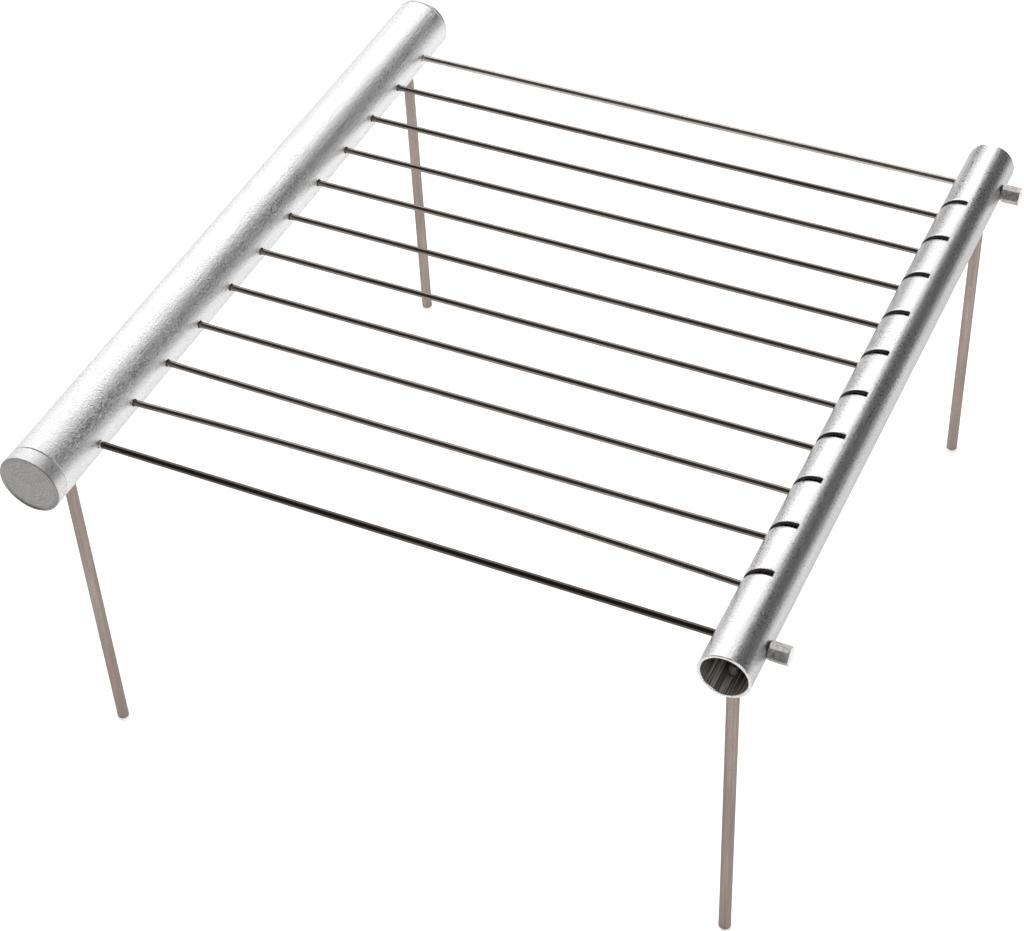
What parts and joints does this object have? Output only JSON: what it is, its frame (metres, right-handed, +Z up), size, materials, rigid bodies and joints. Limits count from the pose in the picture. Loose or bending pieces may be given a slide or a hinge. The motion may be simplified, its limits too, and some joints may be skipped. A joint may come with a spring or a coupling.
{
  "type": "collapsible pocket grill",
  "caption": "Flat grate of loose round rods held between two steel tubes, standing on screwed legs, that packs into the wider tube.",
  "frame": {"origin": "middle of the footprint of the whole object, on the ground that the legs stand on", "axes": "+Z up, +X from the wide tube across the rods to the narrow tube with the nuts, +Y along the tubes away from the screw cap"},
  "size_m": [0.2148, 0.2342, 0.1195],
  "materials": {
    "outer_tube": "fine satin brushed",
    "inner_tube": "fine satin brushed",
    "end_cap": "turned, concentric marks",
    "grill_rod": "polished drawn wire",
    "tie_rod": "polished drawn wire",
    "nut": "bright turned",
    "leg": "drawn, matte"
  },
  "bodies": {
    "outer_frame": {"outer_tube": "outer_tube", "end_plug": "end_cap", "tie_rod_near": "tie_rod", "tie_rod_far": "tie_rod"},
    "screw_cap": {"screw_cap": "end_cap"},
    "inner_frame": {"inner_tube": "inner_tube"},
    "grill_rod_01": {"grill_rod_01": "grill_rod"},
    "grill_rod_02": {"grill_rod_02": "grill_rod"},
    "grill_rod_03": {"grill_rod_03": "grill_rod"},
    "grill_rod_04": {"grill_rod_04": "grill_rod"},
    "grill_rod_05": {"grill_rod_05": "grill_rod"},
    "grill_rod_06": {"grill_rod_06": "grill_rod"},
    "grill_rod_07": {"grill_rod_07": "grill_rod"},
    "grill_rod_08": {"grill_rod_08": "grill_rod"},
    "grill_rod_09": {"grill_rod_09": "grill_rod"},
    "grill_rod_10": {"grill_rod_10": "grill_rod"},
    "tie_nut_near": {"tie_nut_near": "nut"},
    "tie_nut_far": {"tie_nut_far": "nut"},
    "leg_near_left": {"leg_near_left": "leg"},
    "leg_far_left": {"leg_far_left": "leg"},
    "leg_near_right": {"leg_near_right": "leg"},
    "leg_far_right": {"leg_far_right": "leg"}
  },
  "joints": [
    {"name": "cap_unscrew", "type": "slide", "parent": "outer_frame", "child": "screw_cap", "axis": [0, -1, 0], "range_m": [0, 0.01]},
    {"name": "inner_frame_pull", "type": "slide", "parent": "outer_frame", "child": "inner_frame", "axis": [1, 0, 0], "range_m": [0, 0.025]},
    {"name": "rod_lift_01", "type": "hinge", "parent": "outer_frame", "child": "grill_rod_01", "pos_m": [-0.08968, -0.0784, 0.1104], "axis": [0, -1, 0], "range_deg": [0, 12]},
    {"name": "rod_lift_02", "type": "hinge", "parent": "outer_frame", "child": "grill_rod_02", "pos_m": [-0.08968, -0.0606, 0.1104], "axis": [0, -1, 0], "range_deg": [0, 12]},
    {"name": "rod_lift_03", "type": "hinge", "parent": "outer_frame", "child": "grill_rod_03", "pos_m": [-0.08968, -0.0428, 0.1104], "axis": [0, -1, 0], "range_deg": [0, 12]},
    {"name": "rod_lift_04", "type": "hinge", "parent": "outer_frame", "child": "grill_rod_04", "pos_m": [-0.08968, -0.025, 0.1104], "axis": [0, -1, 0], "range_deg": [0, 12]},
    {"name": "rod_lift_05", "type": "hinge", "parent": "outer_frame", "child": "grill_rod_05", "pos_m": [-0.08968, -0.0072, 0.1104], "axis": [0, -1, 0], "range_deg": [0, 12]},
    {"name": "rod_lift_06", "type": "hinge", "parent": "outer_frame", "child": "grill_rod_06", "pos_m": [-0.08968, 0.0106, 0.1104], "axis": [0, -1, 0], "range_deg": [0, 12]},
    {"name": "rod_lift_07", "type": "hinge", "parent": "outer_frame", "child": "grill_rod_07", "pos_m": [-0.08968, 0.0284, 0.1104], "axis": [0, -1, 0], "range_deg": [0, 12]},
    {"name": "rod_lift_08", "type": "hinge", "parent": "outer_frame", "child": "grill_rod_08", "pos_m": [-0.08968, 0.0462, 0.1104], "axis": [0, -1, 0], "range_deg": [0, 12]},
    {"name": "rod_lift_09", "type": "hinge", "parent": "outer_frame", "child": "grill_rod_09", "pos_m": [-0.08968, 0.064, 0.1104], "axis": [0, -1, 0], "range_deg": [0, 12]},
    {"name": "rod_lift_10", "type": "hinge", "parent": "outer_frame", "child": "grill_rod_10", "pos_m": [-0.08968, 0.0818, 0.1104], "axis": [0, -1, 0], "range_deg": [0, 12]},
    {"name": "nut_unscrew_near", "type": "slide", "parent": "inner_frame", "child": "tie_nut_near", "axis": [1, 0, 0], "range_m": [0, 0.008]},
    {"name": "nut_unscrew_far", "type": "slide", "parent": "inner_frame", "child": "tie_nut_far", "axis": [1, 0, 0], "range_m": [0, 0.008]},
    {"name": "leg_unscrew_near_left", "type": "slide", "parent": "outer_frame", "child": "leg_near_left", "axis": [0, 0, -1], "range_m": [0, 0.012]},
    {"name": "leg_unscrew_far_left", "type": "slide", "parent": "outer_frame", "child": "leg_far_left", "axis": [0, 0, -1], "range_m": [0, 0.012]},
    {"name": "leg_unscrew_near_right", "type": "slide", "parent": "inner_frame", "child": "leg_near_right", "axis": [0, 0, -1], "range_m": [0, 0.012]},
    {"name": "leg_unscrew_far_right", "type": "slide", "parent": "inner_frame", "child": "leg_far_right", "axis": [0, 0, -1], "range_m": [0, 0.012]}
  ]
}
